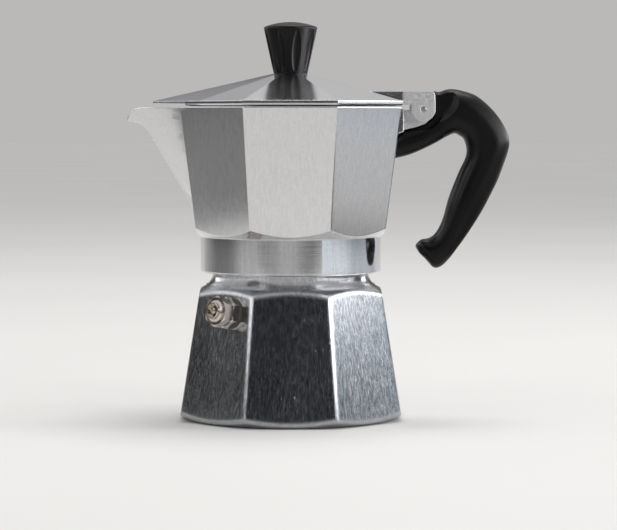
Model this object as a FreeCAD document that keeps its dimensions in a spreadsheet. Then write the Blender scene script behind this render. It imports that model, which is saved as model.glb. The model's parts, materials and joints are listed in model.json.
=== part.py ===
import FreeCAD, Part
import Sketcher
import math
import os
from FreeCAD import Placement, Rotation
from FreeCAD import Vector as Vec

# Octagonal stovetop moka pot. Millimetres. Z is up, the pot's axis is X = Y = 0
# and z = 0 is the boiler's underside. The spout points to -X, the handle to +X
# and the front facet faces -Y.

doc = FreeCAD.newDocument("MokaPot")
sheet = doc.addObject("Spreadsheet::Sheet", "Dims")

DIMS = [
    # boiler
    ("boiler_af", 92.1, "boiler, width across flats at z = 0"),
    ("boiler_draft", 0.315, "boiler, loss of width per mm of height"),
    ("boiler_loft_top", 56.0, "height of the boiler's faceted blank"),
    ("boiler_edge", 1.7, "rounding of the boiler's upright edges"),
    ("boiler_wall", 2.9, "boiler wall"),
    ("boiler_floor", 3.6, "boiler floor thickness"),
    ("boiler_foot", 44.1, "radius where the bottom chamfer starts"),
    ("foot_slope", 0.526, "rise of the bottom chamfer per mm"),
    ("shoulder_radius", 35.3, "radius at the top of the shoulder cone"),
    ("shoulder_z", 55.5, "height there"),
    ("shoulder_slope", 0.52, "fall of the shoulder cone per mm"),
    ("cove_radius", 8.0, "cove between shoulder and neck"),
    ("neck_radius", 32.2, "boiler neck, outside of the thread"),
    ("neck_cove_z", 61.7, "height where the cove meets the neck"),
    ("neck_top", 70.1, "boiler rim"),
    ("mouth_radius", 27.6, "boiler mouth"),
    ("thread_pitch", 3.0, "pitch of the screw joint"),
    ("thread_root", 31.0, "root radius of the boiler's thread"),
    # collector
    ("band_radius", 37.7, "collector skirt"),
    ("band_bottom", 61.1, "lower edge of the skirt"),
    ("band_top", 75.9, "upper edge of the skirt"),
    ("collector_af", 78.0, "collector, across flats at its foot"),
    ("collector_foot", 77.0, "height of that foot"),
    ("collector_flare", 0.25, "gain of width per mm of height"),
    ("collector_top", 129.5, "collector rim"),
    ("collector_wall", 2.4, "collector wall"),
    ("collector_floor", 80.5, "collector floor, inside"),
    ("collector_edge", 1.3, "rounding of the collector's upright edges"),
    ("crest_radius", 31.4, "crest radius of the skirt's thread"),
    ("seat_radius", 32.5, "gasket seat"),
    ("seat_top", 75.6, "ceiling of the gasket seat"),
    # spout
    ("spout_low", 86.0, "lowest section of the spout"),
    ("spout_low_keel", 39.6, "keel distance from the axis there"),
    ("spout_mid", 119.5, "height where the keel starts to flare"),
    ("spout_mid_keel", 59.3, "keel distance there"),
    ("spout_tip_z", 123.7, "height of the spout's tip"),
    ("spout_tip_keel", 68.0, "distance of the tip"),
    ("crease_low_x", 39.9, "where the flank leaves the facets, bottom"),
    ("crease_low_y", 15.0, ""),
    ("crease_top_x", 36.4, "where the flank leaves the facets, top"),
    ("crease_top_y", 27.9, ""),
    ("keel_half", 1.5, "half width of the rounded keel"),
    ("spout_wall", 1.9, "spout wall"),
    ("lip_radius", 6.0, "rounding of the spout's lip, seen from the side"),
    # lid and hinge
    ("lid_bottom", 130.2, "lid rim, lower edge"),
    ("lid_rim", 132.1, "lid rim, upper edge"),
    ("lid_top", 143.4, "flat under the knob"),
    ("lid_af", 92.2, "lid, across flats"),
    ("lid_top_af", 15.4, "flat under the knob, across flats"),
    ("lid_wall", 1.7, "lid thickness"),
    ("beak_x", 57.2, "reach of the lid's beak"),
    ("beak_half", 3.0, "half width of the beak's end"),
    ("hinge_x", 55.0, "hinge pin"),
    ("hinge_z", 128.7, "hinge pin"),
    ("pin_radius", 1.1, "hinge pin radius"),
    ("ear_radius", 5.0, "lid ears"),
    ("ear_in", 5.9, "inner face of the ears"),
    ("ear_out", 9.4, "outer face of the ears"),
    ("ear_top", 136.1, "top of the ears"),
    ("lug_in", 2.6, "inner face of the bracket's lugs"),
    ("lug_out", 5.6, "outer face of the bracket's lugs"),
    ("lug_radius", 4.4, "lugs round the pin"),
    # handle
    ("handle_half", 8.4, "half thickness of the handle"),
    ("handle_round", 6.8, "rounding of the handle's long edges"),
    ("tongue_half", 2.4, "handle tongue between the lugs"),
    ("recess_face", 5.6, "handle, face of the recess for the ears"),
    ("recess_radius", 9.8, "recess for the ears, at its face"),
    ("recess_slope", 45.0, "slope of the recess edge"),
    ("swing_radius", 8.6, "clear radius round the pin"),
    # knob
    ("knob_low_radius", 7.0, "knob at the lid"),
    ("knob_top_radius", 11.1, "knob rim"),
    ("knob_rim_z", 162.7, "knob rim"),
    ("knob_top", 165.0, "top of the knob"),
    ("flute_depth", 1.1, "depth of a flute"),
    ("flute_half", 2.15, "half width of a flute"),
    ("flute_half_length", 8.9, "half length of a flute"),
    # fittings in the lid
    ("insert_radius", 3.4, "threaded insert"),
    ("screw_radius", 1.9, "knob screw"),
    ("screw_head_radius", 3.6, "knob screw head"),
    # inner parts
    ("funnel_radius", 26.3, "funnel, outside of the basket"),
    ("funnel_flange", 31.0, "funnel flange"),
    ("funnel_sheet", 0.8, "funnel thickness"),
    ("stem_radius", 5.0, "funnel stem"),
    ("stem_low", 8.5, "lower end of the stem"),
    ("strainer_radius", 23.65, "strainer in the basket"),
    ("gasket_in", 26.5, "gasket, inside"),
    ("gasket_out", 32.2, "gasket, outside"),
    ("plate_radius", 28.4, "filter plate"),
    ("column_radius", 7.5, "column root"),
    ("column_top", 116.0, "column top"),
    # safety valve
    ("valve_z", 45.7, "valve height"),
    ("valve_shift", 4.3, "valve, sideways from the facet's middle"),
    ("valve_hex", 11.2, "both hexagons, across flats"),
    ("valve_stub", 4.0, "stub through the wall"),
    ("valve_neck", 4.6, "neck that carries the bonnet"),
    ("valve_chamber", 3.4, "spring chamber"),
    ("valve_pin", 1.4, "pin of the poppet"),
    ("nose_radius", 3.5, "valve nose"),
    ("nose_bore", 2.95, "valve nose, bore"),
]
NUM = {}
for row, (alias, value, note) in enumerate(DIMS, 1):
    sheet.set("A%d" % row, alias.replace("_", " "))
    sheet.set("B%d" % row, repr(value))
    sheet.setAlias("B%d" % row, alias)
    sheet.set("C%d" % row, note)
    NUM[alias] = value
doc.recompute()


class Size:
    """A number together with the sheet formula that gives it."""

    def __init__(self, text, number):
        self.text, self.number = text, number

    @staticmethod
    def of(other):
        return other if isinstance(other, Size) else Size(repr(float(other)), float(other))

    def _join(self, other, sign, number):
        return Size("(%s %s %s)" % (self.text, sign, Size.of(other).text), number)

    def __add__(self, o):
        return self._join(o, "+", self.number + Size.of(o).number)

    def __sub__(self, o):
        return self._join(o, "-", self.number - Size.of(o).number)

    def __mul__(self, o):
        return self._join(o, "*", self.number * Size.of(o).number)

    def __truediv__(self, o):
        return self._join(o, "/", self.number / Size.of(o).number)

    def __radd__(self, o):
        return Size.of(o) + self

    def __rsub__(self, o):
        return Size.of(o) - self

    def __rmul__(self, o):
        return Size.of(o) * self

    def __neg__(self):
        return Size("(0 - %s)" % self.text, -self.number)


def d(alias):
    return Size("Dims." + alias, NUM[alias])


def num(v):
    return v.number if isinstance(v, Size) else float(v)


def bind(obj, prop, v):
    if isinstance(v, Size):
        obj.setExpression(prop, v.text)


def new_body(name):
    b = doc.addObject("PartDesign::Body", name)
    b.Label = name
    return b


def role(b, name):
    for o in b.Origin.OriginFeatures:
        if o.Role == name:
            return o


def sketch(b, plane, name, z=None, place=None):
    s = b.newObject("Sketcher::SketchObject", b.Name + "_" + name)
    s.AttachmentSupport = [(role(b, plane), "")]
    s.MapMode = "FlatFace"
    if z is not None:
        s.AttachmentOffset = Placement(Vec(0, 0, num(z)), Rotation())
        bind(s, "AttachmentOffset.Base.z", z)
    if place is not None:
        s.AttachmentOffset = place
    return s


def at(s, geo, pos, x, y):
    """Fixes one point of a sketch by its two coordinates."""
    for kind, axis, v in (("DistanceX", -2, x), ("DistanceY", -1, y)):
        n = num(v)
        if abs(n) < 1e-9:
            s.addConstraint(Sketcher.Constraint("PointOnObject", geo, pos, axis))
        elif n > 0:
            i = s.addConstraint(Sketcher.Constraint(kind, -1, 1, geo, pos, n))
            bind(s, "Constraints[%d]" % i, v)
        else:
            i = s.addConstraint(Sketcher.Constraint(kind, geo, pos, -1, 1, -n))
            bind(s, "Constraints[%d]" % i, -v if isinstance(v, Size) else v)


def outline(s, pts, arcs=None):
    """Closed outline. arcs gives (radius, +1 or -1) for the side after a point:
    +1 runs counter-clockwise, -1 clockwise."""
    arcs = arcs or {}
    sides = []
    count = len(pts)
    for i in range(count):
        a = Vec(num(pts[i][0]), num(pts[i][1]), 0)
        c = Vec(num(pts[(i + 1) % count][0]), num(pts[(i + 1) % count][1]), 0)
        if i in arcs:
            radius, turn = num(arcs[i][0]), arcs[i][1]
            mid, chord = (a + c) * 0.5, c - a
            left = Vec(-chord.y, chord.x, 0).normalize()
            rise = math.sqrt(max(radius ** 2 - (chord.Length / 2) ** 2, 0.0))
            centre = mid + left * (rise * turn)
            a0 = math.atan2(a.y - centre.y, a.x - centre.x)
            a1 = math.atan2(c.y - centre.y, c.x - centre.x)
            if turn < 0:
                a0, a1 = a1, a0
            g = s.addGeometry(Part.ArcOfCircle(Part.Circle(centre, Vec(0, 0, 1), radius), a0, a1), False)
            sides.append((g, 1, 2) if turn > 0 else (g, 2, 1))
        else:
            g = s.addGeometry(Part.LineSegment(a, c), False)
            sides.append((g, 1, 2))
    for i in range(count):
        nxt = sides[(i + 1) % count]
        s.addConstraint(Sketcher.Constraint("Coincident", sides[i][0], sides[i][2], nxt[0], nxt[1]))
    for i in range(count):
        at(s, sides[i][0], sides[i][1], pts[i][0], pts[i][1])
        if i in arcs:
            k = s.addConstraint(Sketcher.Constraint("Radius", sides[i][0], num(arcs[i][0])))
            bind(s, "Constraints[%d]" % k, arcs[i][0])
    return s


def circle(s, x, y, r):
    g = s.addGeometry(Part.Circle(Vec(num(x), num(y), 0), Vec(0, 0, 1), num(r)), False)
    k = s.addConstraint(Sketcher.Constraint("Radius", g, num(r)))
    bind(s, "Constraints[%d]" % k, r)
    if abs(num(x)) < 1e-9 and abs(num(y)) < 1e-9:
        s.addConstraint(Sketcher.Constraint("Coincident", g, 3, -1, 1))
    else:
        at(s, g, 3, x, y)
    return s


T8 = math.tan(math.pi / 8)


def octagon(s, af, r):
    """Octagon with rounded corners, flats to +-X and +-Y."""
    a = af / 2
    k = a * T8 - r * T8
    pts = []
    for n in range(8):
        c, q = math.cos(n * math.pi / 4), math.sin(n * math.pi / 4)
        pts.append((a * c + k * q, a * q - k * c))
        pts.append((a * c - k * q, a * q + k * c))
    return outline(s, pts, {i: (r, 1) for i in range(1, 16, 2)})


def hexagon(s, af):
    a = af / 2
    k = a * math.tan(math.pi / 6)
    r = a / math.cos(math.pi / 6)
    return outline(s, [(a, -k), (a, k), (0, r), (-a, k), (-a, -k), (0, -r)])


def feature(b, kind, name):
    return b.newObject("PartDesign::" + kind, b.Name + "_" + name)


def done(f, *sketches):
    doc.recompute()
    if "Invalid" in f.State or "Error" in f.State or f.Shape.isNull():
        raise RuntimeError("feature failed: " + f.Name)
    return f


def pad(b, s, length, mid=False, back=False, kind="Pad"):
    f = feature(b, kind, s.Name.split("_")[-1] + kind)
    f.Profile = s
    f.Type = 0
    if mid:
        f.SideType = "Symmetric"
    f.Length = num(length)
    bind(f, "Length", length)
    f.Reversed = back
    return done(f)


def pocket(b, s, length, mid=False, back=False):
    return pad(b, s, length, mid, back, "Pocket")


def turned(b, s, kind="Revolution"):
    f = feature(b, kind, s.Name.split("_")[-1] + kind)
    f.Profile = s
    f.ReferenceAxis = (s, ["V_Axis"])
    f.Angle = 360.0
    return done(f)


def loft(b, sections, kind="AdditiveLoft", ruled=True):
    f = feature(b, kind, sections[0].Name.split("_")[-1] + kind)
    f.Profile = sections[0]
    f.Sections = sections[1:]
    f.Ruled = ruled
    return done(f)


def helix(b, s, pitch, height, kind):
    f = feature(b, kind, s.Name.split("_")[-1] + kind)
    f.Profile = s
    f.ReferenceAxis = (s, ["V_Axis"])
    f.Mode = "pitch-height-angle"
    f.Pitch = num(pitch)
    bind(f, "Pitch", pitch)
    f.Height = num(height)
    bind(f, "Height", height)
    f.Angle = 0
    f.LeftHanded = False
    f.Reversed = False
    return done(f)


def round_edges(b, test, radius, kind="Fillet"):
    """Rounds or bevels the edges of the body's tip that pass the test."""
    tip = b.Tip
    names = ["Edge%d" % (i + 1) for i, e in enumerate(tip.Shape.Edges) if test(e)]
    if not names:
        raise RuntimeError("no edges to round on " + b.Name)
    f = feature(b, kind, kind)
    f.Base = (tip, names)
    prop = "Radius" if kind == "Fillet" else "Size"
    setattr(f, prop, num(radius))
    bind(f, prop, radius)
    return done(f)


def around(b, f, count):
    p = feature(b, "PolarPattern", f.Name.split("_")[-1] + "Ring")
    p.Originals = [f]
    p.Axis = (role(b, "Z_Axis"), [""])
    p.Angle = 360.0
    p.Occurrences = count
    b.Tip = p
    return done(p)


# ---------------------------------------------------------------- boiler
def make_boiler():
    b = new_body("boiler")
    af, drop = d("boiler_af"), d("boiler_draft")
    top = d("boiler_loft_top")
    lo = octagon(sketch(b, "XY_Plane", "low"), af, d("boiler_edge"))
    hi = octagon(sketch(b, "XY_Plane", "high", z=top), af - drop * top, d("boiler_edge"))
    loft(b, [lo, hi])
    foot, rise = d("boiler_foot"), d("foot_slope")
    s = outline(sketch(b, "XZ_Plane", "foot"), [(foot, 0), (foot + 10, 0), (foot + 10, rise * 10)])
    turned(b, s, "Groove")
    sr, sz, fall = d("shoulder_radius"), d("shoulder_z"), d("shoulder_slope")
    s = outline(sketch(b, "XZ_Plane", "shoulder"),
                [(sr, sz), (sr + 12, sz - fall * 12), (sr + 12, sz + 3), (sr, sz + 3)])
    turned(b, s, "Groove")
    nr, nz = d("neck_radius"), d("neck_top")
    s = outline(sketch(b, "XZ_Plane", "neck"),
                [(20, 50), (sr - 0.001, 50), (sr - 0.001, sz), (nr + 0.1, d("neck_cove_z")), (nr + 0.1, 62.2),
                 (d("thread_root") - 0.1, 62.9), (d("thread_root") - 0.1, 64.2), (nr, 65.0), (nr, nz - 0.6),
                 (nr - 0.6, nz), (20, nz)],
                {2: (d("cove_radius"), -1)})
    turned(b, s)
    wall, floor = d("boiler_wall"), d("boiler_floor")
    inner_top = 50.0
    lo = octagon(sketch(b, "XY_Plane", "tanklow", z=floor), af - drop * floor - wall * 2, Size.of(4.0))
    hi = octagon(sketch(b, "XY_Plane", "tankhigh", z=inner_top), af - drop * inner_top - wall * 2, Size.of(4.0))
    loft(b, [lo, hi], "SubtractiveLoft")
    mr = d("mouth_radius")
    s = outline(sketch(b, "XZ_Plane", "mouth"),
                [(0, 49.5), (33.6, 49.5), (33.6, 50.2), (mr, 56.0), (mr, nz + 1), (0, nz + 1)])
    turned(b, s, "Groove")
    # turned ring on the underside
    s = outline(sketch(b, "XZ_Plane", "ring"), [(33.0, -0.5), (36.0, -0.5), (36.0, 0), (35.5, 0.5), (33.5, 0.5), (33.0, 0)])
    turned(b, s, "Groove")
    # thread
    root, pitch = d("thread_root"), d("thread_pitch")
    zc = 63.6
    s = outline(sketch(b, "XZ_Plane", "thread"),
                [(root, zc - 0.65), (nr + 0.6, zc - 1.25), (nr + 0.6, zc + 1.25), (root, zc + 0.65)])
    helix(b, s, pitch, 8.6, "SubtractiveHelix")
    # hole for the safety valve
    s = circle(sketch(b, "XY_Plane", "valvehole", place=valve_place()), 0, 0, d("valve_stub"))
    pocket(b, s, 14, mid=True)
    return b


def valve_place():
    """Frame of the safety valve: origin on the facet, local Z straight out of it."""
    lean = math.atan(NUM["boiler_draft"] / 2)
    half = (NUM["boiler_af"] - NUM["boiler_draft"] * NUM["valve_z"]) / 2
    c = math.sqrt(0.5)
    out, side = Vec(-c, -c, 0), Vec(c, -c, 0)
    base = out * half + side * NUM["valve_shift"] + Vec(0, 0, NUM["valve_z"])
    axis = out * math.cos(lean) + Vec(0, 0, math.sin(lean))
    return Placement(base, Rotation(side, axis.cross(side), axis, "ZXY"))


# ---------------------------------------------------------------- safety valve
def make_valve():
    where = valve_place()
    hexa, stub, neck, bore = d("valve_hex"), d("valve_stub"), d("valve_neck"), d("valve_chamber")

    w = new_body("valve_washer")
    s = outline(sketch(w, "XZ_Plane", "ring"), [(stub + 0.02, 0), (6.4, 0), (6.4, 0.8), (stub + 0.02, 0.8)])
    turned(w, s)

    v = new_body("valve_body")
    pad(v, hexagon(sketch(v, "XY_Plane", "hex", z=0.8), hexa), 3.2)
    r = hexa / 2
    s = outline(sketch(v, "XZ_Plane", "bevel"), [(r + 0.15, 4.0), (r + 1.6, 4.0), (r + 1.6, 3.2)])
    turned(v, s, "Groove")
    s = outline(sketch(v, "XZ_Plane", "turned"),
                [(2.0, -7.0), (stub - 0.4, -7.0), (stub, -6.5), (stub, 1.0), (neck, 1.0), (neck, 7.9), (2.0, 7.9)])
    turned(v, s)
    s = outline(sketch(v, "XZ_Plane", "bore"),
                [(0, -8), (2.0, -8), (2.0, -1.0), (bore, -1.0), (bore, 9), (0, 9)])
    turned(v, s, "Groove")

    n = new_body("valve_bonnet")
    pad(n, hexagon(sketch(n, "XY_Plane", "hex", z=4.9), hexa), 3.7)
    s = outline(sketch(n, "XZ_Plane", "bevel"), [(r + 0.05, 8.6), (r + 1.6, 8.6), (r + 1.6, 7.7)])
    turned(n, s, "Groove")
    nose, hole = d("nose_radius"), d("nose_bore")
    s = outline(sketch(n, "XZ_Plane", "nose"),
                [(1.0, 8.3), (nose + 0.9, 8.3), (nose + 0.9, 8.9), (nose, 9.4), (nose, 10.5), (nose - 0.25, 10.8), (1.0, 10.8)])
    turned(n, s)
    s = outline(sketch(n, "XZ_Plane", "bore"),
                [(0, 4.0), (neck, 4.0), (neck, 8.0), (1.75, 8.0), (1.75, 9.3), (hole, 9.3), (hole, 12), (0, 12)])
    turned(n, s, "Groove")

    p = new_body("valve_plunger")
    pin = d("valve_pin")
    s = outline(sketch(p, "XZ_Plane", "turned"),
                [(0, 0.1), (bore - 0.35, 0.1), (bore - 0.35, 1.1), (pin, 1.1), (pin, 10.2), (pin - 0.4, 10.7), (0, 10.7)])
    turned(p, s)

    k = new_body("valve_seal")
    s = outline(sketch(k, "XZ_Plane", "disc"), [(0, -0.95), (2.9, -0.95), (2.9, 0.1), (0, 0.1)])
    turned(k, s)

    c = new_body("valve_spring")
    s = circle(sketch(c, "XZ_Plane", "wire"), 2.3, 1.5, 0.3)
    helix(c, s, 1.05, 6.1, "AdditiveHelix")

    for b in (w, v, n, p, k, c):
        b.Placement = where
    return [w, v, n, p, k, c]


# ---------------------------------------------------------------- funnel, gasket, filter
def ring_holes(b, rings, radius, z, depth):
    for count, r in rings:
        s = circle(sketch(b, "XY_Plane", "h%d" % count, z=z), r, 0, radius)
        f = pocket(b, s, depth, mid=True)
        if count > 1:
            around(b, f, count)


def make_inside():
    t = d("funnel_sheet")
    fr, fl = d("funnel_radius"), d("funnel_flange")
    low = 0.1 + d("neck_top")
    stem = d("stem_radius")
    cup = new_body("funnel_cup")
    s = outline(sketch(cup, "XZ_Plane", "shell"), [
        (fl, low), (fl, low + t), (fr - t, low + t), (fr - 1.6 - t, 47.4), (24.2 - t, 46.2), (24.2 - t, 44.0),
        (stem + 0.4, 35.0), (stem, 34.0), (stem, 31.0), (stem + t, 31.0), (stem + t, 33.6), (stem + 1.4, 34.2),
        (24.2, 42.8), (24.2, 46.2 - 0.3), (fr - 1.6, 46.9), (fr, low)])
    turned(cup, s)

    tube = new_body("funnel_stem")
    s = outline(sketch(tube, "XZ_Plane", "tube"), [
        (stem - t, d("stem_low")), (stem, d("stem_low")), (stem, 34.0), (stem + 0.35, 35.0), (stem - t + 0.3, 35.2), (stem - t, 34.2)])
    turned(tube, s)
    s = outline(sketch(tube, "XZ_Plane", "slant"), [(-6, 8), (6, 8), (6, 13.0)])
    pocket(tube, s, 20, mid=True)

    st = new_body("funnel_strainer")
    pad(st, circle(sketch(st, "XY_Plane", "disc", z=46.95), 0, 0, d("strainer_radius")), 0.7)
    ring_holes(st, ((1, 0), (6, 4.0), (12, 8.0), (18, 12.0), (24, 16.0), (30, 20.0)), 0.75, 47.3, 4)

    gk = new_body("gasket")
    gi, go, pr = d("gasket_in"), d("gasket_out"), d("plate_radius")
    s = outline(sketch(gk, "XZ_Plane", "ring"), [
        (gi, 71.15), (go - 0.4, 71.15), (go, 71.6), (go, 74.9), (go - 0.4, 75.3), (pr + 0.1, 75.3), (pr + 0.1, 74.4), (gi, 74.4)])
    turned(gk, s)

    fp = new_body("filter_plate")
    s = outline(sketch(fp, "XZ_Plane", "disc"), [
        (0, 74.4), (pr, 74.4), (pr, 75.2), (0, 75.2)])
    turned(fp, s)
    ring_holes(fp, ((1, 0), (6, 4.0), (12, 8.0), (18, 12.0), (24, 16.0), (30, 20.0), (36, 23.8)), 0.7, 74.8, 4)
    return [cup, tube, st, gk, fp]


# ---------------------------------------------------------------- collector
def spout_levels():
    """Height, straight keel line and lip flare beyond it of the spout's sections."""
    lo, mid, tip = d("spout_low"), d("spout_mid"), d("spout_tip_z")
    k0, k1, k2 = d("spout_low_keel"), d("spout_mid_keel"), d("spout_tip_keel")
    slope = (k1 - k0) / (mid - lo)
    step, run = tip - mid, k2 - k1
    out = [(lo + (mid - lo) * a, k0 + (k1 - k0) * a, Size.of(0.0)) for a in (0.0, 0.4, 0.7, 1.0)]
    for a, c in ((0.34, 0.14), (0.60, 0.29), (0.80, 0.46), (0.93, 0.68), (1.0, 1.0)):
        line = k1 + slope * step * a
        out.append((mid + step * a, line, k1 + run * c - line))
    last = d("collector_top") + 1.5
    out.append((last, k1 + slope * (last - mid), out[-1][2]))
    return out


def hollow(a, c, rise):
    """Radius of the arc between two points whose middle lies rise behind the straight line."""
    dx, dy = c[0] - a[0], c[1] - a[1]
    return ((dx * dx + dy * dy) * 0.25 + rise * rise) / (rise * 2.0)


def flank(s, cx, cy, keel, flare, half, more=()):
    """One spout section, crease to crease: flat flanks that meet at the keel and curl out to it at the lip."""
    k = keel + flare
    crease, edge = (-cx, cy), (-(k - 0.8), half)
    lead = (-(cx + (keel - 0.8 - cx) * 0.7), cy + (half - cy) * 0.7)
    lip = hollow(lead, edge, flare * 0.10 + 0.05)
    right = [crease, lead, edge, (-(k - 0.25), half * 0.62), (-k, half * 0.24)]
    return outline(s, right + [(x, -y) for x, y in reversed(right)] + list(more), {1: (lip, -1), 7: (lip, -1)})


def make_collector():
    b = new_body("collector")
    af, flare, foot, top = d("collector_af"), d("collector_flare"), d("collector_foot"), d("collector_top")

    def width(z):
        return af + flare * (z - foot)

    lo = octagon(sketch(b, "XY_Plane", "low", z=75.0), width(Size.of(75.0)), d("collector_edge"))
    hi = octagon(sketch(b, "XY_Plane", "high", z=top), width(top), d("collector_edge"))
    loft(b, [lo, hi])
    br, bb, bt = d("band_radius"), d("band_bottom"), d("band_top")
    s = outline(sketch(b, "XZ_Plane", "under"), [(br, 74.0), (br + 20, 74.0), (br + 20, bt + 15.9), (br, bt)])
    turned(b, s, "Groove")
    s = outline(sketch(b, "XZ_Plane", "band"), [
        (28, bb), (br - 0.5, bb), (br, bb + 0.5), (br, bt), (br - 0.4, bt + 0.6), (28, bt + 0.6)])
    turned(b, s)

    # hollow inside
    wall, floor = d("collector_wall"), d("collector_floor")
    lo = octagon(sketch(b, "XY_Plane", "roomlow", z=floor), width(floor) - wall * 2, Size.of(3.0))
    hi = octagon(sketch(b, "XY_Plane", "roomhigh", z=top + 2), width(top + 2) - wall * 2, Size.of(3.0))
    loft(b, [lo, hi], "SubtractiveLoft")
    # spout
    lx0, ly0, lx1, ly1 = d("crease_low_x"), d("crease_low_y"), d("crease_top_x"), d("crease_top_y")
    z0, z1 = d("spout_low"), d("collector_top")
    half = d("keel_half")
    levels = spout_levels()

    def crease(z):
        f = (z - z0) / (z1 - z0)
        return lx0 + (lx1 - lx0) * f, ly0 + (ly1 - ly0) * f

    outer = []
    for i, (z, k, flare) in enumerate(levels):
        cx, cy = crease(z)
        s = sketch(b, "XY_Plane", "spout%d" % i, z=z)
        outer.append(flank(s, cx - 0.25, cy + 0.05, k, flare, half))
    loft(b, outer)

    sw = d("spout_wall")
    inner = []
    for i, (z, k, flare) in enumerate(levels):
        cx, cy = crease(z)
        zz = z + 1.6 if i else z + 3.0
        kk = k - sw * 1.35 if i else k - sw * 1.2
        s = sketch(b, "XY_Plane", "throat%d" % i, z=zz)
        inner.append(flank(s, cx - sw * 1.3, cy - sw * 0.75, kk, flare, half * 0.8, [(Size.of(-22.0), Size.of(-10.0)), (Size.of(-22.0), Size.of(10.0))]))
    loft(b, inner, "SubtractiveLoft")
    # hinge bracket: flange on the wall and two lugs
    hx, hz, lr = d("hinge_x"), d("hinge_z"), d("lug_radius")
    s = outline(sketch(b, "XZ_Plane", "flange"), [(43.3, 118.2), (46.9, 119.4), (46.9, 128.7), (43.3, 129.0)])
    pad(b, s, 14.0, mid=True)
    s = outline(sketch(b, "XZ_Plane", "lugs"), [
        (44.0, 119.2), (47.0, 120.2), (52.0, 121.3), (56.0, 122.7), (hx + 3.6, hz - 3.4), (hx + lr, hz),
        (hx, hz + lr), (hx - lr, hz), (46.9, 128.4), (44.0, 128.4)],
        {5: (lr, 1), 6: (lr, 1)})
    pad(b, s, d("lug_out") * 2, mid=True)

    # lip of the spout, seen from the side
    tx, tz, lip = d("spout_tip_keel"), d("spout_tip_z"), d("lip_radius")
    s = outline(sketch(b, "XZ_Plane", "lip"), [
        (-(tx - lip + 0.05), top), (-20.0, top), (-20.0, top + 12), (-(tx + 8), top + 12), (-(tx + 8), tz + 0.0), (-(tx + 0.05), tz)],
        {5: (d("lip_radius"), -1)})
    pocket(b, s, 80, mid=True)

    # floor with the socket for the column, skirt and thread
    col = d("column_radius")
    s = outline(sketch(b, "XZ_Plane", "boss"), [(5.0, 79.0), (20.0, floor - 0.2), (11.5, 86.0), (5.0, 86.0)])
    turned(b, s)
    crest, seat, ceil = d("crest_radius"), d("seat_radius"), d("seat_top")
    s = outline(sketch(b, "XZ_Plane", "skirt"), [
        (0, bb - 1), (crest + 1.6, bb - 1), (crest + 1.6, bb + 2.0), (crest, bb + 3.2), (crest, 70.5), (seat, 71.2), (seat, ceil),
        (26.0, ceil), (24.5, ceil + 0.7), (col, 80.2), (col, 90), (0, 90)])
    turned(b, s, "Groove")
    pitch = d("thread_pitch")
    zc = 60.6 - 1.5
    s = outline(sketch(b, "XZ_Plane", "thread"), [
        (crest - 0.5, zc - 1.21), (seat, zc - 0.68), (seat, zc + 0.68), (crest - 0.5, zc + 1.21)])
    helix(b, s, pitch, 12.6, "SubtractiveHelix")

    # room for the handle's tongue and the pin
    s = outline(sketch(b, "XZ_Plane", "fork"), [(47.2, 110.0), (70.0, 110.0), (70.0, 140.0), (47.2, 140.0)])
    pocket(b, s, d("lug_in") * 2, mid=True)
    s = circle(sketch(b, "XZ_Plane", "pin"), hx, hz, d("pin_radius"))
    pocket(b, s, 30, mid=True)
    return b


def make_column():
    b = new_body("column")
    r, top = d("column_radius"), d("column_top")
    s = outline(sketch(b, "XZ_Plane", "tube"), [
        (3.6, 80.3), (r, 80.3), (r, 86.0), (r + 1.0, 86.0), (r + 1.0, 87.2), (r - 0.4, 88.2), (5.4, top - 3.0), (3.0, top),
        (0, top), (0, top - 3.2), (2.6, top - 3.6)],
        {6: (3.6, 1)})
    turned(b, s)
    s = outline(sketch(b, "XZ_Plane", "ports"), [(-8.5, top - 9.5), (8.5, top - 9.5), (8.5, top - 5.0), (-8.5, top - 5.0)])
    pocket(b, s, 3.6, mid=True)
    return b


# ---------------------------------------------------------------- lid
def lid_plan(s, af, beak, half, cx, cy):
    a = af / 2
    k = a * T8
    return outline(s, [
        (-k, -a), (k, -a), (a, -k), (a, k), (k, a), (-k, a),
        (-cx, cy), (-beak, half), (-beak, -half), (-cx, -cy)])


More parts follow.
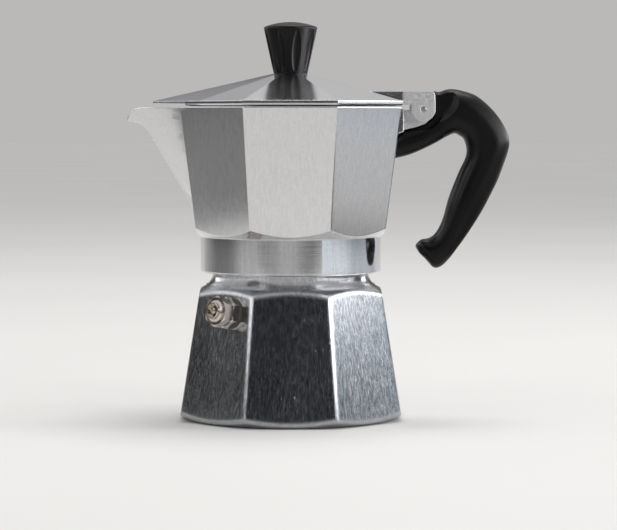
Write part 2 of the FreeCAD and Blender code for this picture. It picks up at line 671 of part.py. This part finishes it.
def make_lid():
    b = new_body("lid")
    af, taf = d("lid_af"), d("lid_top_af")
    zb, zr, zt = d("lid_bottom"), d("lid_rim"), d("lid_top")
    cx, cy, bx, bh = d("crease_top_x"), d("crease_top_y"), d("beak_x"), d("beak_half")
    fit = 0.6
    s0 = lid_plan(sketch(b, "XY_Plane", "rimlow", z=zb), af, bx, bh, cx + fit, cy + 0.62 - fit * 0.4)
    pad(b, s0, zr - zb)
    s1 = lid_plan(sketch(b, "XY_Plane", "rimhigh", z=zr), af, bx, bh, cx + fit, cy + 0.62 - fit * 0.4)
    s2 = lid_plan(sketch(b, "XY_Plane", "crown", z=zt), taf, taf / 2, taf * 0.09, taf * 0.36, taf * 0.345)
    loft(b, [s1, s2])
    # bevels of the rim
    low, high = NUM["lid_bottom"], NUM["lid_rim"]

    def rim(e):
        v = [p.Point for p in e.Vertexes]
        return len(v) == 2 and all(abs(p.z - low) < 1e-4 for p in v)

    round_edges(b, rim, 0.6, "Chamfer")
    # the beak stands clear of the spout's rim
    s = outline(sketch(b, "XZ_Plane", "clear"), [(-62.0, 128.0), (-41.5, 128.0), (-43.5, d("lid_bottom") + 1.1), (-62.0, d("lid_bottom") + 1.1)])
    pocket(b, s, 80, mid=True)
    # ears and tail of the hinge
    hx, hz, er, et = d("hinge_x"), d("hinge_z"), d("ear_radius"), d("ear_top")
    slope = 0.29
    s = outline(sketch(b, "XZ_Plane", "ears"), [
        (32.2, et), (hx + er - 1.6, et), (hx + er - 0.2, et - 1.6), (hx + er, hz), (hx, hz - er), (hx - er, hz), (hx - er, 130.7),
        (46.2, 130.7), (44.8, 131.6), (32.2, 135.1)],
        {1: (1.8, -1), 3: (er, -1), 4: (er, -1)})
    pad(b, s, d("ear_out") * 2, mid=True)
    s = outline(sketch(b, "XZ_Plane", "gap"), [(46.12, 120.0), (66.0, 120.0), (66.0, 140.0), (41.6, 140.0), (41.6, et - 0.6), (44.0, 132.72), (46.12, 132.1)])
    pocket(b, s, d("ear_in") * 2, mid=True)
    # hollow underneath
    w = d("lid_wall")
    i0 = lid_plan(sketch(b, "XY_Plane", "hollowrim", z=zb - 1), af - w * 2, bx - w * 1.6, bh - 1.2, cx + fit - w * 0.85, cy + 0.38 - w * 1.0)
    i1 = lid_plan(sketch(b, "XY_Plane", "hollowlow", z=zr - 0.5), af - w * 2, bx - w * 1.6, bh - 1.2, cx + fit - w * 0.85, cy + 0.38 - w * 1.0)
    i2 = lid_plan(sketch(b, "XY_Plane", "hollowcrown", z=zt - w - 0.1), taf, taf / 2, taf * 0.09, taf * 0.36, taf * 0.345)
    loft(b, [i0, i1, i2], "SubtractiveLoft")
    s = circle(sketch(b, "XY_Plane", "screwhole", z=zt), 0, 0, d("screw_radius") + 0.2)
    pocket(b, s, 10, mid=True)
    s = circle(sketch(b, "XZ_Plane", "pin"), hx, hz, d("pin_radius") + 0.06)
    pocket(b, s, 30, mid=True)
    return b


def make_knob():
    zt = d("lid_top")
    lo, hi, rim, top = d("knob_low_radius"), d("knob_top_radius"), d("knob_rim_z"), d("knob_top")
    ins = d("insert_radius")
    half, height = hi - 0.5, top - rim - 0.4
    dome = (half * half + height * height) / (height * 2)
    b = new_body("knob")
    s = outline(sketch(b, "XZ_Plane", "cone"), [
        (0, zt), (lo, zt), (hi, rim - 0.5), (hi - 0.5, rim + 0.4), (0, top)], {2: (0.9, 1), 3: (dome, 1)})
    turned(b, s)
    # eight lens-shaped flutes
    lean = math.atan((NUM["knob_top_radius"] - NUM["knob_low_radius"]) / (NUM["knob_rim_z"] - NUM["lid_top"]))
    midr = (NUM["knob_low_radius"] + NUM["knob_top_radius"]) / 2
    midz = (NUM["lid_top"] + NUM["knob_rim_z"]) / 2 - 0.1
    e = feature(b, "SubtractiveEllipsoid", "flute")
    e.Radius1 = 8.9
    e.Radius2 = 1.1
    e.Radius3 = 2.15
    bind(e, "Radius1", d("flute_half_length"))
    bind(e, "Radius2", d("flute_depth"))
    bind(e, "Radius3", d("flute_half"))
    turn = Rotation(Vec(0, 0, 1), -75) * Rotation(Vec(0, 1, 0), math.degrees(lean))
    base = Rotation(Vec(0, 0, 1), -75).multVec(Vec(midr, 0, 0)) + Vec(0, 0, midz)
    e.AttachmentSupport = [(role(b, "XY_Plane"), "")]
    e.MapMode = "FlatFace"
    e.AttachmentOffset = Placement(base, turn)
    done(e)
    around(b, e, 8)
    s = outline(sketch(b, "XZ_Plane", "bore"), [(0, zt - 1), (ins, zt - 1), (ins, zt + 14.6), (0, zt + 14.6)])
    turned(b, s, "Groove")

    i = new_body("knob_insert")
    sr = d("screw_radius")
    s = outline(sketch(i, "XZ_Plane", "tube"), [(sr, zt + 2), (ins, zt + 2), (ins, zt + 14.0), (sr, zt + 14.0)])
    turned(i, s)

    w = d("lid_wall")
    under = zt - w - 0.1
    wa = new_body("knob_washer")
    s = outline(sketch(wa, "XZ_Plane", "ring"), [(sr + 0.2, under - 0.6), (4.4, under - 0.6), (4.4, under), (sr + 0.2, under)])
    turned(wa, s)

    k = new_body("knob_screw")
    hr = d("screw_head_radius")
    s = outline(sketch(k, "XZ_Plane", "turned"), [
        (0, under - 2.8), (hr - 0.9, under - 2.8), (hr, under - 1.9), (hr, under - 0.6), (sr, under - 0.6), (sr, zt + 12.5), (sr - 0.5, zt + 13.0), (0, zt + 13.0)],
        {1: (1.2, 1)})
    turned(k, s)
    s = outline(sketch(k, "XY_Plane", "slot", z=under - 2.3), [(-4, -0.45), (4, -0.45), (4, 0.45), (-4, 0.45)])
    pocket(k, s, 2.0, back=False)
    return [b, i, wa, k]


def make_pin():
    b = new_body("hinge_pin")
    where = Placement(Vec(NUM["hinge_x"], 0, NUM["hinge_z"]), Rotation())
    s = circle(sketch(b, "XZ_Plane", "rod"), 0, 0, d("pin_radius"))
    pad(b, s, d("ear_out") * 2 + 0.3, mid=True)
    round_edges(b, lambda e: len(e.Vertexes) == 1, 0.2)
    b.Placement = where
    return b


# ---------------------------------------------------------------- handle
# Sections of the grip: inner and outer point in the XZ plane and half thickness
# as a share of the handle's.
GRIP = [
    ((59.9, 114.55), (59.9, 136.35), 1.0), ((63.5, 116.6), (64.5, 136.8), 1.0), ((66.8, 118.25), (69.5, 136.9), 1.0),
    ((69.6, 118.35), (75.3, 135.3), 1.0), ((71.6, 117.1), (81.5, 131.2), 1.0), ((72.9, 115.0), (86.8, 125.3), 1.0),
    ((73.5, 112.6), (90.0, 119.8), 1.0), ((73.5, 110.3), (91.2, 113.8), 1.0), ((72.8, 107.7), (89.6, 107.8), 1.0),
    ((71.6, 105.2), (87.4, 101.7), 1.0), ((69.6, 100.8), (84.3, 94.8), 1.0), ((67.3, 95.0), (81.0, 88.4), 1.0),
    ((65.6, 89.9), (77.3, 82.2), 1.0), ((64.3, 84.7), (73.3, 76.2), 1.0), ((62.8, 80.5), (69.4, 70.8), 1.0),
    ((60.9, 77.2), (65.6, 65.9), 0.99), ((58.6, 75.2), (61.6, 62.75), 0.97), ((56.0, 74.5), (57.6, 64.8), 0.92),
    ((54.0, 73.6), (54.6, 67.9), 0.80), ((52.95, 72.6), (53.2, 69.7), 0.60), ((52.4, 71.75), (52.5, 70.6), 0.34),
]
# The foot under the bracket, from the pot's wall to the grip.
FOOT = [
    ((43.25, 108.3), (44.6, 118.0), 0.80), ((47.3, 109.2), (47.2, 119.9), 0.84), ((52.0, 110.8), (52.0, 121.0), 0.90),
    ((56.2, 112.7), (56.0, 122.4), 0.95), ((60.4, 114.85), (60.2, 125.4), 1.0), ((63.5, 116.65), (63.3, 127.5), 1.0),
]


def oval(b, name, inner, outer, thick, corner):
    """Rounded section of the handle between two points of its side view."""
    i, o = Vec(inner[0], 0, inner[1]), Vec(outer[0], 0, outer[1])
    along = (o - i).normalize()
    w = (o - i).Length / 2
    side = Vec(0, 1, 0)
    s = sketch(b, "XY_Plane", name, place=Placement((i + o) * 0.5, Rotation(along, side, along.cross(side), "ZXY")))
    q = d("handle_half") * thick
    r = min(corner, 0.86 * w, 0.86 * q.number)
    return outline(s, [
        (w, -(q - r)), (w, q - r), (w - r, q), (-(w - r), q), (-w, q - r), (-w, -(q - r)), (-(w - r), -q), (w - r, -q)],
        {1: (r, 1), 3: (r, 1), 5: (r, 1), 7: (r, 1)})


def make_handle():
    b = new_body("handle")
    corner = NUM["handle_round"]
    loft(b, [oval(b, "grip%d" % n, i, o, k, corner) for n, (i, o, k) in enumerate(GRIP)], ruled=False)
    loft(b, [oval(b, "foot%d" % n, i, o, k, 4.3) for n, (i, o, k) in enumerate(FOOT)], ruled=False)
    # recess on both sides for the lid's ears
    hx, hz = d("hinge_x"), d("hinge_z")
    face = d("recess_face")
    for side, name in ((1, "a"), (-1, "b")):
        for n, (x, z, r) in enumerate(((Size.of(57.9), Size.of(135.3), d("recess_radius")), (hx, hz, d("swing_radius")))):
            s = sketch(b, "XZ_Plane", "recess%s%d" % (name, n), z=face * side)
            circle(s, x, z, r)
            f = pocket(b, s, 12, back=(side > 0))
            if n == 0:
                f.TaperAngle = NUM["recess_slope"]
                bind(f, "TaperAngle", d("recess_slope"))
                done(f)
    # tongue between the lugs
    lr = d("lug_radius")
    s = outline(sketch(b, "XZ_Plane", "tongue"), [
        (47.6, 118.5), (60.6, 118.5), (60.6, 134.6), (hx, hz + lr), (hx - lr, hz), (47.6, 124.0)], {3: (lr, 1)})
    pad(b, s, d("tongue_half") * 2, mid=True)
    s = circle(sketch(b, "XZ_Plane", "pin"), hx, hz, d("pin_radius"))
    pocket(b, s, 30, mid=True)
    return b


parts = [make_boiler()] + make_valve() + make_inside() + [make_collector(), make_column(), make_lid()]
parts += make_knob() + [make_handle(), make_pin()]
doc.recompute()
for o in doc.Objects:
    if "Invalid" in o.State or "Error" in o.State:
        raise RuntimeError("bad object: " + o.Name)
os.makedirs("parts", exist_ok=True)
for p in parts:
    shape = p.Shape
    if shape.isNull() or not shape.isValid() or len(shape.Solids) != 1:
        raise RuntimeError("bad shape: %s valid %s solids %d" % (p.Label, shape.isValid(), len(shape.Solids)))
    shape.exportStep("parts/%s.step" % p.Label)
    bb = shape.BoundBox
    print("%-16s %9.1f mm3  x %.2f..%.2f y %.2f..%.2f z %.2f..%.2f" % (
        p.Label, shape.Volume, bb.XMin, bb.XMax, bb.YMin, bb.YMax, bb.ZMin, bb.ZMax))
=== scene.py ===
import bpy
import json
import math
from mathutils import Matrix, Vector


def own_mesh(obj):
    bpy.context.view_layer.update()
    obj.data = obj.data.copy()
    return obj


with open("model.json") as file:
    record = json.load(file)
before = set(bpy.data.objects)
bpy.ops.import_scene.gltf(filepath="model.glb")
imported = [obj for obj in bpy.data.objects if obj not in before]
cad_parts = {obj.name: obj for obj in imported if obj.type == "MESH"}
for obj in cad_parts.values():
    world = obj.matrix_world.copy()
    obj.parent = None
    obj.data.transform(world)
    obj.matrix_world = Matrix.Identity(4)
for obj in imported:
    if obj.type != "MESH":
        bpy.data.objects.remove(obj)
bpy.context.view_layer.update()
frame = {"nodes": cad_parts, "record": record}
nodes = frame["nodes"]
scene = bpy.context.scene


# ---------------------------------------------------------------- node helpers
class Look:
    """One procedural finish: a Principled shader with helpers for the nodes in front of it."""

    def __init__(self, name, colour, rough, metal=0.0, spec=0.5, coat=0.0):
        self.m = bpy.data.materials.new(name)
        self.m.use_nodes = True
        self.t = self.m.node_tree
        self.bsdf = self.t.nodes["Principled BSDF"]
        self.bsdf.inputs["Base Color"].default_value = (*colour, 1)
        self.bsdf.inputs["Roughness"].default_value = rough
        self.bsdf.inputs["Metallic"].default_value = metal
        self.bsdf.inputs["Specular IOR Level"].default_value = spec
        self.bsdf.inputs["Coat Weight"].default_value = coat
        self.tex = self.t.nodes.new("ShaderNodeTexCoord")
        self.normal = None

    def join(self, a, b):
        self.t.links.new(a, b)

    def at(self, sx, sy, sz):
        n = self.t.nodes.new("ShaderNodeMapping")
        n.inputs["Scale"].default_value = (sx, sy, sz)
        self.join(self.tex.outputs["Object"], n.inputs["Vector"])
        return n.outputs["Vector"]

    def noise(self, vec, detail=3.0, rough=0.55, warp=0.0):
        n = self.t.nodes.new("ShaderNodeTexNoise")
        n.inputs["Scale"].default_value = 1.0
        n.inputs["Detail"].default_value = detail
        n.inputs["Roughness"].default_value = rough
        n.inputs["Distortion"].default_value = warp
        self.join(vec, n.inputs["Vector"])
        return n.outputs["Fac"]

    def span(self, src, a, b, lo, hi, smooth=False):
        n = self.t.nodes.new("ShaderNodeMapRange")
        if smooth:
            n.interpolation_type = "SMOOTHSTEP"
        for k, v in zip(("From Min", "From Max", "To Min", "To Max"), (a, b, lo, hi)):
            n.inputs[k].default_value = v
        self.join(src, n.inputs["Value"])
        return n.outputs["Result"]

    def sum(self, a, b, how="ADD"):
        n = self.t.nodes.new("ShaderNodeMath")
        n.operation = how
        self.join(a, n.inputs[0])
        self.join(b, n.inputs[1])
        return n.outputs["Value"]

    def pick(self, fac, a, b):
        """a where fac is 0 and b where it is 1."""
        n = self.t.nodes.new("ShaderNodeMix")
        n.data_type = "FLOAT"
        self.join(fac, n.inputs[0])
        self.join(a, n.inputs[2])
        self.join(b, n.inputs[3])
        return n.outputs[0]

    def tint(self, fac, stops):
        n = self.t.nodes.new("ShaderNodeValToRGB")
        e = n.color_ramp.elements
        while len(e) < len(stops):
            e.new(0.5)
        for k, (p, c) in zip(e, stops):
            k.position = p
            k.color = (*c, 1)
        self.join(fac, n.inputs["Fac"])
        self.join(n.outputs["Color"], self.bsdf.inputs["Base Color"])

    def rough(self, src):
        self.join(src, self.bsdf.inputs["Roughness"])

    def roll(self, radius):
        """Edges buffed round, as on a polished casting."""
        n = self.t.nodes.new("ShaderNodeBevel")
        n.samples = 6
        n.inputs["Radius"].default_value = radius
        self.normal = n.outputs["Normal"]
        self.join(self.normal, self.bsdf.inputs["Normal"])

    def bump(self, height, depth, strength=1.0):
        n = self.t.nodes.new("ShaderNodeBump")
        n.inputs["Strength"].default_value = strength
        n.inputs["Distance"].default_value = depth
        self.join(height, n.inputs["Height"])
        if self.normal:
            self.join(self.normal, n.inputs["Normal"])
        self.normal = n.outputs["Normal"]
        self.join(self.normal, self.bsdf.inputs["Normal"])

    def xyz(self):
        n = self.t.nodes.new("ShaderNodeSeparateXYZ")
        self.join(self.tex.outputs["Object"], n.inputs["Vector"])
        return n.outputs

    def radius(self):
        p = self.xyz()
        q = self.sum(self.sum(p["X"], p["X"], "MULTIPLY"), self.sum(p["Y"], p["Y"], "MULTIPLY"))
        n = self.t.nodes.new("ShaderNodeMath")
        n.operation = "SQRT"
        self.join(q, n.inputs[0])
        return n.outputs["Value"], p["Z"]


def facets(name, colour, rough, turned_from=None, turned_to=None, turned_rough=0.1, speckle=0.3, wave=0.00006, roll=0.002, cast_x=None):
    """Cast and polished aluminium: upright brushing on the facets, turned rings between two heights, and past cast_x the
    rougher skin of the hinge, left as it was cast."""
    k = Look(name, colour, rough, metal=1.0)
    k.roll(roll)
    grain = k.noise(k.at(3000, 3000, 34), 3.0, 0.6)
    fine = k.noise(k.at(1800, 1800, 44), 3.0, 0.6)
    fleck = k.noise(k.at(1500, 1500, 1150), 2.0, 0.55)
    cloud = k.noise(k.at(38, 38, 24), 3.0, 0.5, 0.4)
    pits = k.noise(k.at(2300, 2300, 1900), 2.0, 0.5)
    r = k.sum(k.span(grain, 0.3, 0.7, rough * 0.8, rough * 1.2), k.span(cloud, 0.3, 0.7, -0.015, 0.02))
    r = k.sum(r, k.span(pits, 0.60, 0.72, 0.0, 0.05 * speckle))
    r = k.sum(r, k.sum(k.span(fine, 0.40, 0.66, 0.0, 0.060 * speckle), k.span(fleck, 0.46, 0.66, 0.0, 0.028 * speckle)))
    if turned_to is not None:
        rings = k.noise(k.at(14, 14, 5200), 3.0, 0.6)
        z = k.xyz()["Z"]
        on = k.sum(k.span(z, turned_from - 0.0002, turned_from + 0.0002, 0, 1), k.span(z, turned_to - 0.0002, turned_to + 0.0002, 1, 0), "MULTIPLY")
        r = k.pick(on, r, k.span(rings, 0.3, 0.7, turned_rough - 0.03, turned_rough + 0.05))
        h = k.pick(on, grain, rings)
    else:
        h = grain
    if cast_x is not None:
        skin = k.noise(k.at(1400, 1400, 1400), 3.0, 0.6)
        raw = k.span(k.xyz()["X"], cast_x - 0.0004, cast_x + 0.0004, 0, 1)
        r = k.pick(raw, r, k.span(skin, 0.3, 0.7, 0.34, 0.56))
        h = k.pick(raw, h, skin)
    k.rough(r)
    lo = tuple(c * (0.90 - 0.28 * speckle) for c in colour)
    k.tint(k.sum(k.sum(k.span(fine, 0.40, 0.60, 0.0, 0.46), k.span(fleck, 0.40, 0.60, 0.0, 0.38)), k.span(cloud, 0.3, 0.7, 0.0, 0.16)), [(0.0, lo), (1.0, colour)])
    k.bump(cloud, wave, 0.5)
    k.bump(h, 0.000003, 0.5)
    if cast_x is not None:
        k.bump(k.sum(skin, raw, "MULTIPLY"), 0.00005, 0.5)
    k.bump(k.span(pits, 0.58, 0.74, 1.0, 0.0), 0.0000015, 0.12 * speckle)
    return k.m


def sheet(name, colour, rough, metal=1.0, scale=900):
    """Plain metal with fine drawn lines and slight uneven shine."""
    k = Look(name, colour, rough, metal=metal)
    lines = k.noise(k.at(scale, scale, scale * 4), 3.0, 0.55)
    cloud = k.noise(k.at(120, 120, 120), 3.0, 0.5)
    k.rough(k.sum(k.span(lines, 0.3, 0.7, rough - 0.05, rough + 0.06), k.span(cloud, 0.3, 0.7, -0.04, 0.05)))
    k.tint(cloud, [(0.25, tuple(c * 0.88 for c in colour)), (0.75, colour)])
    k.bump(lines, 0.00001, 0.5)
    return k.m


def plastic(name, colour, rough):
    """Moulded black plastic with a fine satin grain."""
    k = Look(name, colour, rough, spec=0.20)
    grain = k.noise(k.at(2600, 2600, 2600), 2.0, 0.5)
    cloud = k.noise(k.at(70, 70, 70), 3.0, 0.5)
    scuff = k.noise(k.at(240, 900, 240), 4.0, 0.6, 0.6)
    k.rough(k.sum(k.span(cloud, 0.3, 0.7, rough - 0.04, rough + 0.06), k.span(scuff, 0.58, 0.75, 0.0, 0.07)))
    k.tint(k.span(grain, 0.3, 0.7, 0.0, 1.0), [(0.0, tuple(c * 0.8 for c in colour)), (1.0, tuple(c * 1.25 for c in colour))])
    k.bump(grain, 0.00004, 0.35)
    return k.m


def rubber(name, colour, rough):
    k = Look(name, colour, rough, spec=0.3)
    grain = k.noise(k.at(900, 900, 900), 3.0, 0.6)
    cloud = k.noise(k.at(90, 90, 90), 3.0, 0.5)
    k.rough(k.span(grain, 0.3, 0.7, rough - 0.06, rough + 0.06))
    k.tint(cloud, [(0.25, tuple(c * 0.85 for c in colour)), (0.75, colour)])
    k.bump(grain, 0.00003, 0.4)
    return k.m


looks = {
    "boiler_metal": facets("boiler_metal", (0.66, 0.67, 0.69), 0.155, 0.0555, 0.075, 0.14, speckle=0.9, wave=0.00004, roll=0.003),
    "collector_metal": facets("collector_metal", (0.72, 0.72, 0.73), 0.13, 0.060, 0.0765, 0.08, speckle=0.2, roll=0.0006, cast_x=0.0468),
    "lid_metal": facets("lid_metal", (0.76, 0.76, 0.77), 0.17, speckle=0.15, roll=0.0005, cast_x=0.0464),
    "column_metal": sheet("column_metal", (0.66, 0.66, 0.66), 0.38),
    "funnel_metal": sheet("funnel_metal", (0.72, 0.72, 0.72), 0.30),
    "sheet_metal": sheet("sheet_metal", (0.70, 0.70, 0.70), 0.32),
    "valve_metal": sheet("valve_metal", (0.62, 0.565, 0.52), 0.17, scale=700),
    "valve_pin": sheet("valve_pin", (0.70, 0.60, 0.44), 0.24, scale=700),
    "brass": sheet("brass", (0.75, 0.58, 0.30), 0.28),
    "steel": sheet("steel", (0.62, 0.62, 0.63), 0.26),
    "valve_washer": rubber("valve_washer", (0.09, 0.085, 0.08), 0.6),
    "seal_rubber": rubber("seal_rubber", (0.03, 0.03, 0.03), 0.55),
    "gasket_rubber": rubber("gasket_rubber", (0.74, 0.72, 0.68), 0.55),
    "knob_plastic": plastic("knob_plastic", (0.0020, 0.0020, 0.0023), 0.36),
    "handle_plastic": plastic("handle_plastic", (0.0022, 0.0022, 0.0025), 0.36),
}
for part in frame["record"]["subparts"]:
    o = nodes[part["node"]]
    o.data.materials.clear()
    o.data.materials.append(looks[part["material_slot"]])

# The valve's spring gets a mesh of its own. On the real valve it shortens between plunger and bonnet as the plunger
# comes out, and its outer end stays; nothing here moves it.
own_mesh(nodes["valve_spring"])

# ---------------------------------------------------------------- floor, sky and lights
bpy.ops.mesh.primitive_circle_add(vertices=96, radius=14.0, fill_type="NGON", location=(0, 0, -0.0002))
floor = bpy.context.object
floor.name = "floor"
k = Look("floor_pale", (0.735, 0.726, 0.712), 0.65, spec=0.0)
mottle = k.noise(k.at(3, 3, 3), 4.0, 0.5)
k.tint(mottle, [(0.3, (0.721, 0.712, 0.698)), (0.7, (0.749, 0.740, 0.726))])
k.rough(k.span(mottle, 0.3, 0.7, 0.6, 0.7))
floor.data.materials.append(k.m)

world = bpy.data.worlds.new("studio")
scene.world = world
world.use_nodes = True
w = world.node_tree
bg = w.nodes["Background"]
tc = w.nodes.new("ShaderNodeTexCoord")
sep = w.nodes.new("ShaderNodeSeparateXYZ")
w.links.new(tc.outputs["Generated"], sep.inputs["Vector"])
rng = w.nodes.new("ShaderNodeMapRange")
for key, v in zip(("From Min", "From Max", "To Min", "To Max"), (-1, 1, 0, 1)):
    rng.inputs[key].default_value = v
w.links.new(sep.outputs["Z"], rng.inputs["Value"])
ramp = w.nodes.new("ShaderNodeValToRGB")
stops = [
    (0.0, (0.49, 0.485, 0.48)), (0.525, (0.49, 0.485, 0.48)), (0.56, (0.08, 0.08, 0.085)), (0.62, (0.06, 0.06, 0.065)),
    (0.67, (0.32, 0.32, 0.33)), (0.705, (0.60, 0.60, 0.61)), (1.0, (0.88, 0.88, 0.88))]
els = ramp.color_ramp.elements
while len(els) < len(stops):
    els.new(0.5)
for e, (p, c) in zip(els, stops):
    e.position = p
    e.color = (*c, 1)
w.links.new(rng.outputs["Result"], ramp.inputs["Fac"])
w.links.new(ramp.outputs["Color"], bg.inputs["Color"])
bg.inputs["Strength"].default_value = 1.0


def soft(name, where, target, wide, high, power, colour):
    light = bpy.data.lights.new(name, "AREA")
    light.shape = "RECTANGLE"
    light.size, light.size_y = wide, high
    light.energy = power
    light.color = colour
    o = bpy.data.objects.new(name, light)
    o.location = where
    o.rotation_euler = (Vector(target) - Vector(where)).to_track_quat("-Z", "Y").to_euler()
    scene.collection.objects.link(o)
    return o


def card(name, corner, along, up, rising, sideways=((0.0, (1, 1, 1)), (1.0, (1, 1, 1)))):
    """A board that only shows in the polished faces: a corner, its lower edge and its height, with its shade from the
    bottom up and from one end to the other."""
    mesh = bpy.data.meshes.new(name)
    c, u, v = Vector(corner), Vector(along), Vector(up)
    mesh.from_pydata([c, c + u, c + u + v, c + v], [], [(0, 1, 2, 3)])
    o = bpy.data.objects.new(name, mesh)
    scene.collection.objects.link(o)
    k = Look(name, (0, 0, 0), 1.0, spec=0.0)
    p = k.xyz()
    axis = max("XY", key=lambda a: abs(u["XY".index(a)]))
    i = "XY".index(axis)
    ramps = []
    for src, stops in ((k.span(p["Z"], c.z, c.z + v.z, 0, 1), rising), (k.span(p[axis], c[i], c[i] + u[i], 0, 1), sideways)):
        n = k.t.nodes.new("ShaderNodeValToRGB")
        e = n.color_ramp.elements
        while len(e) < len(stops):
            e.new(0.5)
        for q, (at, shade) in zip(e, stops):
            q.position = at
            q.color = (*shade, 1)
        k.join(src, n.inputs["Fac"])
        ramps.append(n.outputs["Color"])
    both = k.t.nodes.new("ShaderNodeMix")
    both.data_type = "RGBA"
    both.blend_type = "MULTIPLY"
    both.inputs[0].default_value = 1.0
    k.join(ramps[0], both.inputs[6])
    k.join(ramps[1], both.inputs[7])
    k.join(both.outputs[2], k.bsdf.inputs["Emission Color"])
    k.bsdf.inputs["Emission Strength"].default_value = 1.0
    mesh.materials.append(k.m)
    o.visible_camera = o.visible_diffuse = o.visible_shadow = o.visible_transmission = False
    return o


def grey(*pairs):
    return [(p, v if isinstance(v, tuple) else (v, v, v)) for p, v in pairs]


soft("top", (0.25, 0.35, 1.7), (0, 0, 0.08), 0.8, 0.8, 12.0, (1.0, 0.99, 0.97))
soft("front_right", (0.98, -0.90, 0.42), (0, 0, 0.08), 0.34, 0.34, 3.0, (1.0, 1.0, 1.0))
soft("front_left", (-0.92, -0.92, 0.50), (0, 0, 0.08), 0.36, 0.50, 1.3, (1.0, 1.0, 1.0))
soft("right_high", (1.25, -0.05, 0.62), (0, 0, 0.06), 0.46, 0.30, 3.4, (0.96, 0.98, 1.0))
soft("left_high", (-1.25, 0.0, 0.80), (0, 0, 0.06), 0.8, 0.36, 0.9, (1.0, 1.0, 1.0))
# A low lamp flagged off the metal, for the knob's flutes alone.
low = soft("right_low", (0.46, -0.14, 0.03), (0, 0, 0.15), 0.16, 0.24, 1.9, (0.97, 0.98, 1.0))
flutes = bpy.data.collections.new("lit_by_right_low")
flutes.objects.link(nodes["knob"])
low.light_linking.receiver_collection = flutes
card("dark_front", (-0.95, -1.45, 0.07), (1.9, 0, 0), (0, 0, 1.4), grey((0.0, (0.016, 0.018, 0.022)), (1.0, (0.010, 0.012, 0.016))))
card("dark_left", (-0.63, 0.80, 0.0), (0, -1.5, 0), (0, 0, 0.34),
     grey((0.0, 0.26), (0.11, 0.25), (0.17, 0.03), (0.54, 0.025), (0.62, 1.6), (1.0, 2.2)),
     grey((0.0, 2.2), (0.27, 1.4), (0.40, 0.9), (0.56, 0.95), (0.627, 1.15), (0.753, 2.2), (1.0, 2.0)))
card("left_floor", (-0.405, 0.14, 0.001), (0, -0.24, 0), (-0.225, 0, 0.006), grey((0.0, 0.23), (1.0, 0.27)))
card("blue_right", (0.62, -0.75, 0.0), (0, 1.5, 0), (0, 0, 0.34),
     grey((0.0, (0.64, 0.67, 0.70)), (0.10, (0.65, 0.69, 0.73)), (0.18, (0.08, 0.10, 0.13)), (0.28, (0.12, 0.155, 0.19)), (0.34, (0.33, 0.40, 0.46)),
          (0.38, (0.58, 0.66, 0.73)), (0.42, (0.78, 0.86, 0.93)), (0.47, (1.2, 1.25, 1.3)), (0.52, (2.8, 2.8, 2.85)), (0.60, (6.0, 6.0, 6.1)), (1.0, (6.0, 6.0, 6.2))),
     grey((0.0, 1.4), (0.24, 1.5), (0.36, 1.45), (0.46, 1.0), (0.62, 1.0), (0.80, 0.8), (1.0, 1.2)))
card("right_floor", (0.14, -0.40, 0.001), (0, 0.62, 0), (0.48, 0, 0.012), grey((0.0, 0.16), (0.4, 0.34), (0.6, 0.64), (1.0, 0.66)))
card("front_low", (-0.90, -0.85, 0.0), (1.8, 0, 0), (0, 0, 0.045), grey((0.0, 1.0), (1.0, 1.0)),
     grey((0.0, 0.40), (0.20, 0.28), (0.33, 0.36), (0.43, 0.50), (0.53, 0.48), (0.63, 0.28), (0.75, 0.20), (0.88, 0.36), (1.0, 0.60)))
card("back_right", (0.06, 1.6, 0.5), (0.9, 0, 0), (0, 0, 0.75), grey((0.0, 0.56), (1.0, 0.60)))

# ---------------------------------------------------------------- camera
cam = bpy.data.cameras.new("camera")
cam.sensor_width = 36.0
cam.lens = 2560.0 * 36.0 / 617.0
eye = bpy.data.objects.new("camera", cam)
yaw, pitch = math.radians(0.4), math.radians(3.2)
eye.location = (0.0, -1.07, 0.1235)
ahead = Vector((math.sin(yaw) * math.cos(pitch), math.cos(yaw) * math.cos(pitch), -math.sin(pitch)))
eye.rotation_euler = ahead.to_track_quat("-Z", "Y").to_euler()
scene.collection.objects.link(eye)
scene.camera = eye
scene.view_settings.view_transform = "Standard"
